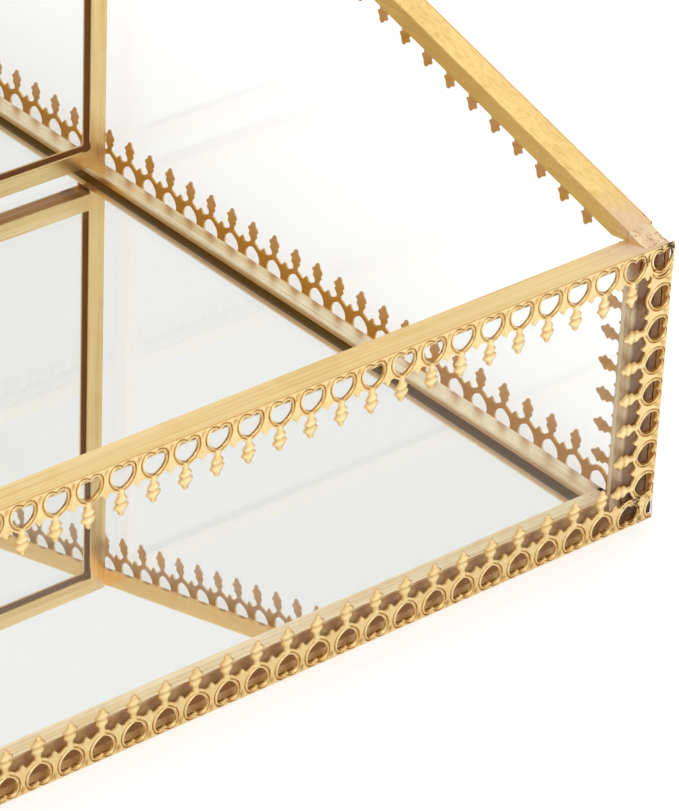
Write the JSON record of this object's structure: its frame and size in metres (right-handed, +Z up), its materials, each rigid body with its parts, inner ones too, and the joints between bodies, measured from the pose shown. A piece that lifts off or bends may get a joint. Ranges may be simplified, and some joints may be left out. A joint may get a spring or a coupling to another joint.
{
  "type": "dresser vanity tray",
  "caption": "Low-fronted tray with sloping glass sides, brass angle frame, mirror floor, glass cross divider and stamped heart lace edging.",
  "frame": {"origin": "middle of the tray's underside, on the table", "axes": "+X right along the low front wall, +Y from the low front to the tall back, +Z up"},
  "size_m": [0.3012, 0.2212, 0.1095],
  "materials": {
    "rail_brass": "brushed and lacquered brass angle, faint tarnish at the joints",
    "post_brass": "brushed brass, tinted by heat near the soldered corners",
    "channel_brass": "folded brass channel, satin",
    "lace_brass": "stamped thin brass, bright on the ridges and darker in the recesses",
    "wall_glass": "clear polished sheet glass with cut edges",
    "mirror_glass": "clear polished sheet glass in front of the silvering",
    "silvering": "silvered layer behind the glass",
    "backing": "matt dark paper backing"
  },
  "bodies": {
    "root": {"backing_sheet": "backing", "silvering": "silvering", "mirror_glass": "mirror_glass", "front_glass": "wall_glass", "back_glass": "wall_glass", "left_glass": "wall_glass", "right_glass": "wall_glass", "divider_glass": "wall_glass", "front_bottom_rail": "rail_brass", "back_bottom_rail": "rail_brass", "left_bottom_rail": "rail_brass", "right_bottom_rail": "rail_brass", "front_top_rail": "rail_brass", "back_top_rail": "rail_brass", "left_slope_rail": "rail_brass", "right_slope_rail": "rail_brass", "front_left_post": "post_brass", "front_right_post": "post_brass", "back_left_post": "post_brass", "back_right_post": "post_brass", "divider_bottom_channel": "channel_brass", "divider_top_channel": "channel_brass", "divider_left_channel": "channel_brass", "divider_right_channel": "channel_brass", "front_top_lace": "lace_brass", "front_bottom_lace": "lace_brass", "back_top_lace": "lace_brass", "back_bottom_lace": "lace_brass", "left_bottom_lace": "lace_brass", "right_bottom_lace": "lace_brass", "left_slope_lace": "lace_brass", "right_slope_lace": "lace_brass", "front_left_post_lace": "lace_brass", "front_right_post_lace": "lace_brass", "back_left_post_lace": "lace_brass", "back_right_post_lace": "lace_brass", "left_front_post_lace": "lace_brass", "right_front_post_lace": "lace_brass", "left_back_post_lace": "lace_brass", "right_back_post_lace": "lace_brass"}
  },
  "joints": []
}
